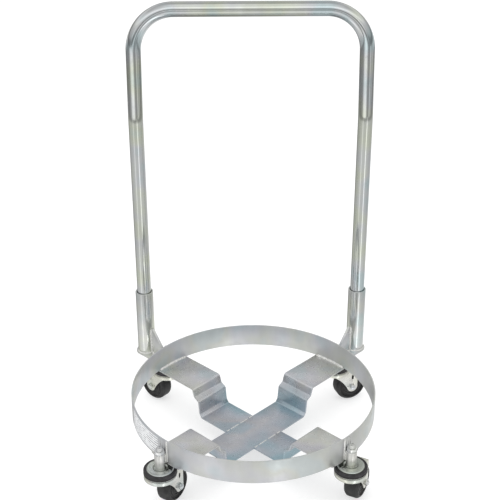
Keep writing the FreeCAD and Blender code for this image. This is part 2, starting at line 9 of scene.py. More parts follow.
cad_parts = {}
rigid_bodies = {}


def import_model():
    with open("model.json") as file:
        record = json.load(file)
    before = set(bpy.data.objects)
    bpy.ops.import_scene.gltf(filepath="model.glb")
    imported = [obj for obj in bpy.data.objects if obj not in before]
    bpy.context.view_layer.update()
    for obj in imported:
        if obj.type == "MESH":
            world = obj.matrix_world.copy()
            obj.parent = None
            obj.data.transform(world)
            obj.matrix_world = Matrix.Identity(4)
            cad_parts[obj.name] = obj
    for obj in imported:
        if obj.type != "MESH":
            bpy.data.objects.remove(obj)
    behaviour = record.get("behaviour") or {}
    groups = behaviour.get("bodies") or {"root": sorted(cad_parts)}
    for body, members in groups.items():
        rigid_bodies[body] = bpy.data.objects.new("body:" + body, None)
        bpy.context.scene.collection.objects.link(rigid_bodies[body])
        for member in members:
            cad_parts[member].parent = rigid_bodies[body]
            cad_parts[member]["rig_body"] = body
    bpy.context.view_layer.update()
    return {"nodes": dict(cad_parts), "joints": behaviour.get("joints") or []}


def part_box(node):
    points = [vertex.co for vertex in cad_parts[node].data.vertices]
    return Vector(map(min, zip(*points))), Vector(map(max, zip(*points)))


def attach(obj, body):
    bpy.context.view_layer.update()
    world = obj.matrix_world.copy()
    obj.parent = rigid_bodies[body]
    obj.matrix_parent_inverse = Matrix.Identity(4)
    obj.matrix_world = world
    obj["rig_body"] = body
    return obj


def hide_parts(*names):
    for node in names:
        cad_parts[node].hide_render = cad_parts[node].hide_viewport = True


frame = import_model()

# Drum dolly. Metres, in the CAD frame: the origin is the ring's centre at its lower edge, +Z is
# up and +Y points to the handle.

MM = 0.001
FRONT = ("front_left", "front_right")
REAR = ("rear_left", "rear_right")
CORNERS = FRONT + REAR
UP = Vector((0.0, 0.0, 1.0))

# Ring, straps and the plates that stand on the ring
RING_OUTER = 314.3 * MM
RING_INNER = 311.1 * MM
RING_HEIGHT = 63.5 * MM
STRAP_WIDTH = 101.6 * MM
CROSSING_TOP = -77.0 * MM
PLATE_TOP = 4.8 * MM
PLATE_HALF_WIDTH = 25.0 * MM
PAD_HALF = 10.0 * MM
GUSSET_HALF = 3.175 * MM
GUSSET_BEAD_TOP = 80.0 * MM

# Caster sockets and the handle's sockets
SOCKET_RADIUS = 13.3 * MM
SOCKET_BORE = 7.6 * MM
SOCKET_BOTTOM = -13.5 * MM
SOCKET_TOP = 29.0 * MM
HANDLE_SOCKET_RADIUS = 24.15 * MM
HANDLE_SOCKET_BORE = 20.45 * MM
HANDLE_SOCKET_TOP = 192.0 * MM

# Push handle
HANDLE_HALF_WIDTH = 294.0 * MM
HANDLE_LEG_BACK = 288.0 * MM
HANDLE_BEND_HEIGHT = 692.0 * MM
SET_BACK_BEND = 120.0 * MM
TOP_BEND = 101.6 * MM
TUBE_RADIUS = 19.05 * MM
TUBE_WALL = 2.0 * MM

# Caster stems and wheels
STEM_RADIUS = 7.5 * MM
STEM_TOP = 47.0 * MM
STEM_SHOULDER = -15.5 * MM
STEM_POINT = 1.4 * MM
THREAD_PITCH = 1.95 * MM
KINGPIN_RADIUS = 5.0 * MM
KINGPIN_HEAD_RADIUS = 9.0 * MM
KINGPIN_HEAD_HEIGHT = 3.0 * MM
KINGPIN_HEAD_CHAMFER = 1.5 * MM
WHEEL_RADIUS = 44.45 * MM
WHEEL_HALF_WIDTH = 19.0 * MM
WHEEL_WEB_DEPTH = 4.0 * MM
TREAD_EDGE = 6.0 * MM

# Label on the ring
LABEL_START = math.radians(195)
LABEL_END = math.radians(221)
LABEL_LOW = 6.0 * MM
LABEL_HIGH = 57.0 * MM
LABEL_THICKNESS = 0.12 * MM

joints = {joint["name"]: joint for joint in frame["joints"]}
scene = bpy.context.scene


# ---------------------------------------------------------------- node helper


class Nodes:
    """A node tree, with short ways to add the nodes that the world and the finishes share."""

    def __init__(self, owner):
        owner.use_nodes = True
        self.nodes = owner.node_tree.nodes
        self.links = owner.node_tree.links

    def feed(self, socket, value):
        """Link a socket to another's output, or set it to a colour or a number."""
        if isinstance(value, bpy.types.NodeSocket):
            self.links.new(value, socket)
        elif isinstance(value, tuple):
            socket.default_value = (*value, 1)
        else:
            socket.default_value = value

    def maths(self, operation, first, second):
        node = self.nodes.new("ShaderNodeMath")
        node.operation = operation
        self.feed(node.inputs[0], first)
        self.feed(node.inputs[1], second)
        return node.outputs[0]

    def mix(self, fac, first, second, blend="MIX"):
        node = self.nodes.new("ShaderNodeMix")
        node.data_type = "RGBA"
        node.blend_type = blend
        self.feed(node.inputs["Factor"], fac)
        self.feed(node.inputs["A"], first)
        self.feed(node.inputs["B"], second)
        return node.outputs["Result"]

    def split(self, vector):
        """The X, Y and Z of a vector."""
        node = self.nodes.new("ShaderNodeSeparateXYZ")
        self.links.new(vector, node.inputs["Vector"])
        return node.outputs

    def span(self, fac, low, high, start=0.3, end=0.7):
        """Go from low to high as a value goes from start to end. A noise's values are mostly
        between 0.3 and 0.7."""
        node = self.nodes.new("ShaderNodeMapRange")
        node.inputs["From Min"].default_value = start
        node.inputs["From Max"].default_value = end
        node.inputs["To Min"].default_value = low
        node.inputs["To Max"].default_value = high
        self.links.new(fac, node.inputs["Value"])
        return node.outputs["Result"]

    def ramp(self, fac, stops, interpolation="LINEAR"):
        """A colour ramp; each stop is (position, colour)."""
        node = self.nodes.new("ShaderNodeValToRGB")
        node.color_ramp.interpolation = interpolation
        elements = node.color_ramp.elements
        while len(elements) < len(stops):
            elements.new(0.5)
        for element, (position, colour) in zip(elements, stops):
            element.position = position
            element.color = (*colour, 1)
        self.links.new(fac, node.inputs["Fac"])
        return node.outputs["Color"]

    def greys(self, fac, stops):
        """A smooth ramp of greys; each stop is (position, grey)."""
        return self.ramp(fac, [(position, (grey,) * 3) for position, grey in stops], "EASE")


# ---------------------------------------------------------------- camera, floor and light

# Where the reference view's camera stands, its angles, lens and framing
EYE = (-0.0614, -2.4257, 1.6792)
PITCH_DOWN = math.radians(27.2285)
TURN_RIGHT = math.radians(1.4497)
TIP = 0.0009
SENSOR_WIDTH = 36.0
FOCAL_LENGTH = 80.66
SHIFT = (-0.0071, 0.0209)

FLOOR_HALF = 40.0
FLOOR_GREY = 0.48
FLOOR_GLOW = 0.58
LIT_POINT = (0.0, 0.0, 0.3)

# The room that the metal mirrors, in greys. A height is 0 straight down and 1 straight up. A
# turn is 0 and 1 behind the object, 0.25 on its left, 0.5 in front and 0.75 on its right.
GREY_BY_HEIGHT = [
    (0.00, 0.55), (0.09, 0.95), (0.18, 1.15), (0.23, 1.12), (0.285, 0.86), (0.345, 0.80),
    (0.375, 0.45), (0.41, 0.40), (0.435, 1.00), (0.51, 1.05), (0.535, 0.30), (0.565, 0.32),
    (0.62, 0.70), (0.69, 0.92), (0.77, 1.42), (0.85, 1.18), (0.91, 0.90), (0.97, 1.00),
    (1.00, 1.00),
]
GREY_BY_TURN = [
    (0.00, 0.40), (0.07, 0.36), (0.14, 0.50), (0.22, 0.66), (0.30, 0.72), (0.365, 0.82),
    (0.392, 1.25), (0.42, 0.82), (0.50, 0.80), (0.54, 0.82), (0.564, 1.85), (0.59, 0.85),
    (0.68, 0.74), (0.78, 0.66), (0.87, 0.70), (0.93, 0.95), (0.975, 0.50), (1.00, 0.40),
]
LEVEL_GREY_BY_TURN = [
    (0.00, 0.40), (0.08, 0.60), (0.144, 0.80), (0.20, 0.50), (0.256, 0.24), (0.333, 0.38),
    (0.395, 0.98), (0.462, 1.15), (0.50, 0.75), (0.532, 0.34), (0.597, 0.38), (0.628, 0.80),
    (0.655, 0.44), (0.744, 0.52), (0.856, 0.70), (0.95, 0.60), (1.00, 0.40),
]
HIGH_GREY_BY_TURN = [
    (0.00, 0.50), (0.25, 0.62), (0.50, 0.92), (0.75, 0.62), (1.00, 0.50),
]


def add_camera():
    """The reference view: the camera looks along ahead, tipped a little out of level."""
    ahead = Vector((math.sin(TURN_RIGHT) * math.cos(PITCH_DOWN),
                    math.cos(TURN_RIGHT) * math.cos(PITCH_DOWN), -math.sin(PITCH_DOWN)))
    right = Vector((math.cos(TURN_RIGHT), -math.sin(TURN_RIGHT), 0.0))
    above = right.cross(ahead)
    tipped_right = right * math.cos(TIP) + above * math.sin(TIP)
    tipped_above = above * math.cos(TIP) - right * math.sin(TIP)
    turn_matrix = Matrix((tipped_right, tipped_above, -ahead)).transposed()
    data = bpy.data.cameras.new("camera")
    data.sensor_width = SENSOR_WIDTH
    data.lens = FOCAL_LENGTH
    data.shift_x, data.shift_y = SHIFT
    camera = bpy.data.objects.new("camera", data)
    camera.matrix_world = Matrix.Translation(EYE) @ turn_matrix.to_4x4()
    scene.collection.objects.link(camera)
    scene.camera = camera


def add_light(name, place, width, height, power):
    """A softbox that the metal doesn't mirror."""
    data = bpy.data.lights.new(name, "AREA")
    data.shape = "RECTANGLE"
    data.size = width
    data.size_y = height
    data.energy = power
    aim = Vector(LIT_POINT) - Vector(place)
    light = bpy.data.objects.new(name, data)
    light.location = place
    light.rotation_euler = aim.to_track_quat("-Z", "Y").to_euler()
    light.visible_glossy = False
    scene.collection.objects.link(light)


def add_floor():
    """A plain floor under the wheels, with an even glow that keeps it pale."""
    low = min(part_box("wheel_" + corner)[0].z for corner in CORNERS)
    half = FLOOR_HALF
    mesh = bpy.data.meshes.new("floor")
    mesh.from_pydata([(-half, -half, low), (half, -half, low), (half, half, low),
                      (-half, half, low)], [], [(0, 1, 2, 3)])
    floor = bpy.data.objects.new("floor", mesh)
    floor.visible_glossy = False
    scene.collection.objects.link(floor)
    paint = bpy.data.materials.new("floor_paint")
    shader = Nodes(paint).nodes["Principled BSDF"]
    shader.inputs["Base Color"].default_value = (FLOOR_GREY, FLOOR_GREY, FLOOR_GREY, 1)
    shader.inputs["Emission Color"].default_value = (1.0, 1.0, 1.0, 1)
    shader.inputs["Emission Strength"].default_value = FLOOR_GLOW
    shader.inputs["Roughness"].default_value = 0.9
    shader.inputs["Specular IOR Level"].default_value = 0.1
    # the glow is even, so it isn't sampled as a lamp
    paint.cycles.emission_sampling = "NONE"
    mesh.materials.append(paint)


def add_world():
    """The studio round the object. Diffuse light is an even white, and the metal mirrors a
    painted room: a grey for each height, times a grey for each turn. Two bands of height have
    turns of their own: the level one, which the upright tubes show, and the high one, which
    the straps show."""
    world = bpy.data.worlds.new("studio")
    scene.world = world
    room = Nodes(world)
    even = room.nodes["Background"]
    even.inputs["Color"].default_value = (0.99, 0.995, 1.0, 1)
    even.inputs["Strength"].default_value = 1.0
    direction = room.split(room.nodes.new("ShaderNodeTexCoord").outputs["Generated"])
    height = room.span(direction["Z"], 0.0, 1.0, -1.0, 1.0)
    bearing = room.maths("ARCTAN2", direction["X"], room.maths("MULTIPLY", direction["Y"], -1.0))
    turn = room.span(bearing, 0.0, 1.0, -math.pi, math.pi)
    above_low = room.span(height, 0.0, 1.0, 0.40, 0.44)
    below_high = room.span(height, 0.0, 1.0, 0.54, 0.52)
    level = room.maths("MULTIPLY", above_low, below_high)
    high = room.span(height, 0.0, 1.0, 0.62, 0.70)
    by_turn = room.mix(level, room.greys(turn, GREY_BY_TURN),
                       room.greys(turn, LEVEL_GREY_BY_TURN))
    by_turn = room.mix(high, by_turn, room.greys(turn, HIGH_GREY_BY_TURN))
    paint = room.mix(1.0, room.greys(height, GREY_BY_HEIGHT), by_turn, "MULTIPLY")
    mirrored = room.nodes.new("ShaderNodeBackground")
    mirrored.inputs["Strength"].default_value = 1.0
    room.links.new(paint, mirrored.inputs["Color"])
    ray = room.nodes.new("ShaderNodeLightPath")
    choose = room.nodes.new("ShaderNodeMixShader")
    room.links.new(ray.outputs["Is Glossy Ray"], choose.inputs["Fac"])
    room.links.new(even.outputs["Background"], choose.inputs[1])
    room.links.new(mirrored.outputs["Background"], choose.inputs[2])
    room.links.new(choose.outputs["Shader"], room.nodes["World Output"].inputs["Surface"])


def add_studio():
    """A pale floor in an even white studio, with softboxes that give the forms some side."""
    add_floor()
    add_world()
    add_light("overhead", (0.0, -0.3, 3.6), 4.0, 4.0, 55.0)
    add_light("left_box", (-3.0, -1.2, 1.6), 0.9, 2.6, 12.0)
    scene.view_settings.view_transform = "Standard"


# ---------------------------------------------------------------- materials

# The faint colours of clear zinc, by the value of a slow noise
FILM_TINTS = [
    (0.34, (0.80, 0.91, 0.98)),
    (0.43, (0.94, 0.93, 0.99)),
    (0.50, (0.98, 0.98, 0.95)),
    (0.58, (0.97, 0.98, 0.86)),
    (0.68, (0.86, 0.96, 0.95)),
]
# The stronger film colours in the dip of the straps, darker as well as bluer: the blue is the
# film's, the darkening is painted shade in the recess; and the heights that they fade in between
DIP_TINTS_AND_SHADE = [
    (0.40, (0.26, 0.58, 0.72)),
    (0.53, (0.60, 0.68, 0.80)),
    (0.61, (0.70, 0.70, 0.75)),
    (0.68, (0.50, 0.66, 0.78)),
]
DIP_FULL = -50.0 * MM
DIP_NONE = -4.0 * MM


class Finish(Nodes):
    """One node material, patterned in object space."""

    def __init__(self, name):
        self.material = bpy.data.materials.new(name)
        super().__init__(self.material)
        self.shader = self.nodes["Principled BSDF"]
        self.place = self.nodes.new("ShaderNodeTexCoord").outputs["Object"]

    def noise(self, scale, detail=3.0, stretch=None, rough=0.5):
        place = self.place
        if stretch:
            mapping = self.nodes.new("ShaderNodeMapping")
            mapping.inputs["Scale"].default_value = stretch
            self.links.new(place, mapping.inputs["Vector"])
            place = mapping.outputs["Vector"]
        texture = self.nodes.new("ShaderNodeTexNoise")
        texture.inputs["Scale"].default_value = scale
        texture.inputs["Detail"].default_value = detail
        texture.inputs["Roughness"].default_value = rough
        self.links.new(place, texture.inputs["Vector"])
        return texture.outputs["Fac"]

    def metal(self, share):
        self.shader.inputs["Metallic"].default_value = share

    def colour(self, value):
        self.feed(self.shader.inputs["Base Color"], value)

    def rough(self, value):
        self.feed(self.shader.inputs["Roughness"], value)

    def bump(self, layers):
        """layers is a list of (height, depth in metres)."""
        previous = None
        for height, depth in layers:
            node = self.nodes.new("ShaderNodeBump")
            node.inputs["Distance"].default_value = depth
            self.links.new(height, node.inputs["Height"])
            if previous:
                self.links.new(previous, node.inputs["Normal"])
            previous = node.outputs["Normal"]
        self.links.new(previous, self.shader.inputs["Normal"])


def zinc(name, base, film, smooth, dull, grain=0.03 * MM, drawn=None, dip_tints_and_shade=None, metal=1.0):
    """Clear zinc plate: grey metal under a film of faint blue, violet and straw, with roughness
    that wanders between smooth and dull. drawn stretches a fine line pattern along the way the
    steel was rolled. The dip ramp colours what lies below the strap ends: bluer with the film,
    and darker with painted shade in the dip."""
    finish = Finish(name)
    finish.metal(metal)
    tint = finish.ramp(finish.noise(9.0, 2.0), FILM_TINTS)
    if dip_tints_and_shade:
        height = finish.split(finish.place)["Z"]
        depth = finish.span(height, 1.0, 0.0, DIP_FULL, DIP_NONE)
        # painted shade: below the strap ends the colour darkens as well as turning bluer, most
        # at the bottom of the dip
        tint = finish.mix(depth, tint, finish.ramp(finish.noise(6.0, 2.0), dip_tints_and_shade))
    streaks = finish.noise(30.0, 4.0, stretch=drawn or (1.0, 1.0, 1.6))
    darker = tuple(channel * 0.90 for channel in base)
    grey = finish.mix(finish.span(streaks, 0.0, 1.0), darker, base)
    finish.colour(finish.mix(film, grey, tint, "MULTIPLY"))
    mottle = finish.noise(55.0, 2.0)
    finish.rough(finish.span(mottle, smooth, dull))
    layers = [(mottle, grain * 3), (finish.noise(260.0, 1.0), grain * 0.5)]
    if drawn:
        layers.append((finish.noise(420.0, 2.0, stretch=drawn), grain))
    finish.bump(layers)
    return finish.material


def weld_zinc():
    """Plated weld metal: pale, lumpy and pitted, with specks of rust."""
    finish = Finish("weld_bead")
    finish.metal(0.65)
    specks = finish.noise(260.0, 3.0, rough=0.7)
    rusted = finish.span(specks, 0.0, 1.0, 0.66, 0.72)
    pale = finish.mix(finish.span(finish.noise(140.0), 0.0, 1.0), (0.66, 0.66, 0.63),
                      (0.92, 0.92, 0.90))
    finish.colour(finish.mix(rusted, pale, (0.22, 0.07, 0.035)))
    finish.rough(finish.span(specks, 0.20, 0.50))
    finish.bump([(finish.noise(420.0, 4.0), 0.4 * MM)])
    return finish.material


def rubber(name, dark, dusty, low, high, depth):
    """Black moulded rubber with a little dust in its pores."""
    finish = Finish(name)
    cloud = finish.noise(70.0, 5.0, rough=0.65)
    finish.colour(finish.mix(finish.span(cloud, 0.0, 1.0, 0.45, 0.72), dark, dusty))
    finish.rough(finish.span(cloud, low, high))
    finish.bump([(finish.noise(600.0, 3.0), depth), (cloud, depth * 2)])
    return finish.material


def polished_steel():
    finish = Finish("ball_steel")
    finish.metal(1.0)
    finish.colour(finish.mix(finish.noise(40.0), (0.70, 0.70, 0.71), (0.80, 0.80, 0.81)))
    finish.rough(finish.span(finish.noise(200.0), 0.10, 0.20))
    return finish.material


def ruled_label():
    """A rubbed silver sticker with plain, broken ruled lines and no lettering."""
    finish = Finish("ruled_sticker")
    rubbed = finish.noise(120.0, 4.0)
    ground = finish.mix(finish.span(rubbed, 0.0, 1.0, 0.35, 0.7), (0.82, 0.83, 0.83),
                        (0.70, 0.71, 0.72))
    rules = finish.nodes.new("ShaderNodeTexWave")
    rules.bands_direction = "Z"
    rules.inputs["Scale"].default_value = 45.0
    finish.links.new(finish.place, rules.inputs["Vector"])
    breaks = finish.span(finish.noise(70.0, 3.0), 0.3, 1.0, 0.42, 0.48)
    lines = finish.span(rules.outputs["Fac"], 0.0, 1.0, 0.70, 0.90)
    ink = finish.maths("MULTIPLY", lines, breaks)
    finish.colour(finish.mix(ink, ground, (0.20, 0.20, 0.22)))
    finish.rough(finish.span(rubbed, 0.35, 0.6))
    return finish.material


PLATE = zinc("zinc_plate", (0.76, 0.77, 0.76), film=0.55, smooth=0.26, dull=0.40, metal=0.85)
RING = zinc("zinc_ring", (0.67, 0.68, 0.68), film=0.50, smooth=0.30, dull=0.44,
            grain=0.02 * MM, drawn=(1.0, 1.0, 0.25), metal=0.75)
STRAP = zinc("zinc_strap", (0.73, 0.73, 0.735), film=0.62, smooth=0.24, dull=0.34,
             grain=0.008 * MM, dip_tints_and_shade=DIP_TINTS_AND_SHADE, metal=0.85)
TUBE = zinc("zinc_tube", (0.74, 0.765, 0.735), film=0.90, smooth=0.07, dull=0.16,
            grain=0.02 * MM, drawn=(1.0, 1.0, 0.12))
SOCKET = zinc("zinc_socket", (0.78, 0.80, 0.75), film=0.80, smooth=0.12, dull=0.24,
              grain=0.02 * MM, drawn=(1.0, 1.0, 0.12))
SHORT_SOCKET = zinc("zinc_short_socket", (0.88, 0.88, 0.85), film=0.30, smooth=0.24, dull=0.40)
RACE = zinc("zinc_race", (0.60, 0.63, 0.60), film=0.50, smooth=0.10, dull=0.20)
PRESSED = zinc("zinc_pressing", (0.84, 0.84, 0.78), film=0.45, smooth=0.16, dull=0.32)
HARDWARE = zinc("zinc_hardware", (0.84, 0.85, 0.85), film=0.40, smooth=0.10, dull=0.24)
WELD = weld_zinc()
WHEEL_RUBBER = rubber("wheel_rubber", dark=(0.012, 0.012, 0.012), dusty=(0.040, 0.039, 0.038),
                      low=0.34, high=0.55, depth=0.06 * MM)
BUMPER_RUBBER = rubber("bumper_rubber", dark=(0.014, 0.013, 0.014), dusty=(0.055, 0.051, 0.056),
                       low=0.40, high=0.62, depth=0.08 * MM)
BALL_STEEL = polished_steel()
LABEL = ruled_label()


# ---------------------------------------------------------------- mesh helpers


def new_piece(name, bm, material, smooth_angle=32.0):
    """Turn a bmesh into an object, smooth-shaded except at edges sharper than smooth_angle."""
    bmesh.ops.recalc_face_normals(bm, faces=bm.faces)
    limit = math.radians(smooth_angle)
    for face in bm.faces:
        face.smooth = True
    for edge in bm.edges:
        if len(edge.link_faces) == 2:
            edge.smooth = edge.calc_face_angle(0.0) < limit
    mesh = bpy.data.meshes.new(name)
    bm.to_mesh(mesh)
    bm.free()
    mesh.materials.append(material)
    piece = bpy.data.objects.new(name, mesh)
    scene.collection.objects.link(piece)
    return piece


def stand_for(piece, node):
    """A finished piece takes a CAD node's place, and rides on that node's body."""
    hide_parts(node)
    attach(piece, frame["nodes"][node]["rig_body"])


def add_trim(piece, body):
    """A piece that no CAD node stands for, such as a weld, rides on a body."""
    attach(piece, body)


def outward(angle, radius, height=0.0):
    return Vector((radius * math.cos(angle), radius * math.sin(angle), height))


def join_rows(bm, rows):
    """Faces between each closed row of vertices and the next."""
    for here, there in zip(rows, rows[1:]):
        count = len(here)
        for i in range(count):
            j = (i + 1) % count
            bm.faces.new((here[i], here[j], there[j], there[i]))


def cap_rows(bm, rows):
    """Close the first and the last row with a flat face each."""
    bm.faces.new(rows[0])
    bm.faces.new(list(reversed(rows[-1])))


def spin(bm, profile, where, steps):
    """Copies of a (radius, height) profile's vertices, evenly round where's Z axis."""
    copies = []
    for index in range(steps):
        angle = 2 * math.pi * index / steps
        c, s = math.cos(angle), math.sin(angle)
        copies.append([bm.verts.new(where @ Vector((r * c, r * s, z))) for r, z in profile])
    return copies


def lathe_into(bm, profile, where, steps):
    """Spin a closed profile that stays clear of the axis."""
    copies = spin(bm, profile, where, steps)
    join_rows(bm, copies + copies[:1])


def lathe_open(bm, profile, where, steps):
    """Spin a profile whose first and last points lie on the axis."""
    copies = spin(bm, profile[1:-1], where, steps)
    first = bm.verts.new(where @ Vector((0, 0, profile[0][1])))
    last = bm.verts.new(where @ Vector((0, 0, profile[-1][1])))
    for here, there in zip(copies, copies[1:] + copies[:1]):
        for k in range(len(here) - 1):
            bm.faces.new((here[k], there[k], there[k + 1], here[k + 1]))
        bm.faces.new((first, there[0], here[0]))
        bm.faces.new((last, here[-1], there[-1]))


def rounded(profile, radii, steps=5):
    """A closed profile with corner k rounded by radii[k]; 0 leaves the corner sharp."""
    out = []
    for k, (corner, radius) in enumerate(zip(profile, radii)):
        here = Vector(corner)
        back = Vector(profile[k - 1]) - here
        ahead = Vector(profile[(k + 1) % len(profile)]) - here
        reach = min(radius, back.length * 0.49, ahead.length * 0.49)
        if reach < 1e-6:
            out.append(tuple(here))
            continue
        start = here + back.normalized() * reach
        end = here + ahead.normalized() * reach
        for step in range(steps + 1):
            t = step / steps
            point = start * (1 - t) ** 2 + here * 2 * t * (1 - t) + end * t * t
            out.append(tuple(point))
    return out


def rounded_mm(profile, radii):
    """The same for a profile and radii that are given in millimetres."""
    return rounded([(r * MM, z * MM) for r, z in profile], [r * MM for r in radii])


def tube_profile(inner, outer, bottom, top, edge):
    """A tube's wall, with all four of its edges rounded."""
    corners = [(inner, bottom), (outer, bottom), (outer, top), (inner, top)]
    return rounded(corners, [edge] * len(corners), 3)


def softened(node, name, width, material, angle=32.0):
    """A copy of a CAD node's shape with its sharp edges rounded, as a plated part's are."""
    bm = bmesh.new()
    bm.from_mesh(frame["nodes"][node].data)
    bmesh.ops.remove_doubles(bm, verts=bm.verts, dist=1e-6)
    bmesh.ops.dissolve_limit(bm, angle_limit=math.radians(0.5), verts=bm.verts, edges=bm.edges)
    mesh = bpy.data.meshes.new(name + "_rough")
    bm.to_mesh(mesh)
    bm.free()
    rough = bpy.data.objects.new(name + "_rough", mesh)
    scene.collection.objects.link(rough)
    bevel = rough.modifiers.new("edges", "BEVEL")
    bevel.width = width
    bevel.segments = 2
    bevel.limit_method = "ANGLE"
    bevel.angle_limit = math.radians(angle)
    bevel.use_clamp_overlap = True
    graph = bpy.context.evaluated_depsgraph_get()
    done = bmesh.new()
    done.from_mesh(rough.evaluated_get(graph).to_mesh())
    bpy.data.objects.remove(rough)
    return new_piece(name, done, material, 40.0)


# ---------------------------------------------------------------- stations


def swivel_point(corner):
    return Vector(joints["swivel_" + corner]["pos_m"])


def bearing_of(point):
    return math.atan2(point.y, point.x)


def station_matrix(corner):
    """At the caster's swivel axis, with +X pointing away from the ring's centre."""
    swivel = swivel_point(corner)
    return Matrix.Translation(swivel) @ Matrix.Rotation(bearing_of(swivel), 4, "Z")


def wheel_matrix(corner):
    """At the wheel's centre, with +Z along its axle."""
    joint = joints["roll_" + corner]
    axle = Vector(joint["axis"]).normalized()
    turn = axle.to_track_quat("Z", "Y").to_matrix().to_4x4()
    return Matrix.Translation(joint["pos_m"]) @ turn


def handle_foot(corner):
    side = -1 if corner.endswith("left") else 1
    return Vector((side * HANDLE_HALF_WIDTH, HANDLE_LEG_BACK, 0.0))


# ---------------------------------------------------------------- ring and straps


def make_ring():
    bm = bmesh.new()
    profile = tube_profile(RING_INNER, RING_OUTER, 0.0, RING_HEIGHT, 0.9 * MM)
    lathe_into(bm, profile, Matrix.Identity(4), 288)
    ring = new_piece("rolled_ring", bm, RING)
    stand_for(ring, "ring_band")


def make_straps():
    for node in ("cross_strap_long", "cross_strap_rear_left", "cross_strap_front_right"):
        strap = softened(node, node.replace("cross_", ""), 0.9 * MM, STRAP)
        stand_for(strap, node)


# ---------------------------------------------------------------- sockets and brackets


def make_stem_sockets():
    profile = tube_profile(SOCKET_BORE, SOCKET_RADIUS, SOCKET_BOTTOM, SOCKET_TOP, 1.0 * MM)
    for corner in CORNERS:
        bm = bmesh.new()
        lathe_into(bm, profile, station_matrix(corner), 64)
        socket = new_piece("stem_socket_" + corner, bm, SHORT_SOCKET)
        stand_for(socket, "caster_socket_" + corner)


def make_filler_pads():
    for corner in FRONT:
        pad = softened("socket_pad_" + corner, "filler_pad_" + corner, 0.6 * MM, PLATE)
        stand_for(pad, "socket_pad_" + corner)


def make_handle_brackets():
    profile = tube_profile(HANDLE_SOCKET_BORE, HANDLE_SOCKET_RADIUS, PLATE_TOP,
                           HANDLE_SOCKET_TOP, 1.2 * MM)
    for corner in REAR:
        for node, name in (("handle_base_plate_", "base_plate_"), ("handle_gusset_", "gusset_")):
            piece = softened(node + corner, name + corner, 0.7 * MM, PLATE)
            stand_for(piece, node + corner)
        bm = bmesh.new()
        lathe_into(bm, profile, Matrix.Translation(handle_foot(corner)), 72)
        socket = new_piece("handle_sleeve_" + corner, bm, SOCKET)
        stand_for(socket, "handle_socket_" + corner)


# ---------------------------------------------------------------- push handle


def rounded_route(points, radii, arc_steps=28, run_steps=10):
    """Points along a route whose inner corners are rounded, close together in the bends."""
    route = []
    start = points[0]
    for k in range(1, len(points) - 1):
        here = points[k]
        back = (points[k - 1] - here).normalized()
        ahead = (points[k + 1] - here).normalized()
        half = back.angle(ahead) / 2
        trim = radii[k - 1] / math.tan(half)
        arc_start = here + back * trim
        arc_end = here + ahead * trim
        centre = here + (back + ahead).normalized() * (radii[k - 1] / math.sin(half))
        route += [start.lerp(arc_start, i / run_steps) for i in range(run_steps)]
        spoke = arc_start - centre
        sweep = math.pi - 2 * half
        axis = spoke.cross(arc_end - centre)
        steps = max(4, round(arc_steps * sweep / (math.pi / 2)))
        for i in range(steps):
            route.append(centre + Matrix.Rotation(sweep * i / steps, 3, axis) @ spoke)
        start = arc_end
    route += [start.lerp(points[-1], i / run_steps) for i in range(run_steps + 1)]
    return route


def sweep_tube(bm, route, outer, inner, around=48):
    """A hollow tube along a route, with its two ends closed by flat rings."""
    side = Vector((0.0, 1.0, 0.0))
    shells = []
    for radius in (outer, inner):
        rows = []
        for k, point in enumerate(route):
            before = route[max(k - 1, 0)]
            after = route[min(k + 1, len(route) - 1)]
            along = (after - before).normalized()
            across = along.cross(side).normalized()
            up = across.cross(along).normalized()
            row = []
            for i in range(around):
                angle = 2 * math.pi * i / around
                spoke = across * math.cos(angle) + up * math.sin(angle)
                row.append(bm.verts.new(point + spoke * radius))
            rows.append(row)
        join_rows(bm, rows)
        shells.append(rows)
    for end in (0, -1):
        join_rows(bm, [shell[end] for shell in shells])


def make_handle():
    low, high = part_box("push_handle")
    top_back = high.y - TUBE_RADIUS
    top_height = high.z - TUBE_RADIUS
    left_leg = [
        Vector((-HANDLE_HALF_WIDTH, HANDLE_LEG_BACK, low.z)),
        Vector((-HANDLE_HALF_WIDTH, HANDLE_LEG_BACK, HANDLE_BEND_HEIGHT)),
        Vector((-HANDLE_HALF_WIDTH, top_back, top_height)),
    ]
    right_leg = [Vector((-point.x, point.y, point.z)) for point in reversed(left_leg)]
    route = rounded_route(left_leg + right_leg,
                          [SET_BACK_BEND, TOP_BEND, TOP_BEND, SET_BACK_BEND])
    bm = bmesh.new()
    sweep_tube(bm, route, TUBE_RADIUS, TUBE_RADIUS - TUBE_WALL)
    stand_for(new_piece("bent_handle", bm, TUBE), "push_handle")


# ---------------------------------------------------------------- welds

# Each weld's leg length, and the number that seeds its ripple
RING_STRAP_WELD = (4.2 * MM, 10)
SEAM_WELD = (1.3 * MM, 20)
RING_PAD_WELD = (3.4 * MM, 30)
PAD_SOCKET_WELD = (4.0 * MM, 40)
HANDLE_SOCKET_WELD = (2.6 * MM, 50)
GUSSET_HANDLE_WELD = (4.2 * MM, 60)
GUSSET_PLATE_WELD = (3.6 * MM, 70)
GUSSET_CASTER_WELD = (3.2 * MM, 80)
RING_PLATE_WELD = (3.2 * MM, 90)

# The lengths of each crossing seam that carry a bead, as shares of the strap width, and how far
# the bead spreads and stands up, as shares of its leg
SEAM_RUNS = ((0.02, 0.13), (0.17, 0.47), (0.52, 0.80), (0.86, 0.98))
SEAM_SPREAD = 1.2
SEAM_RISE = 0.6


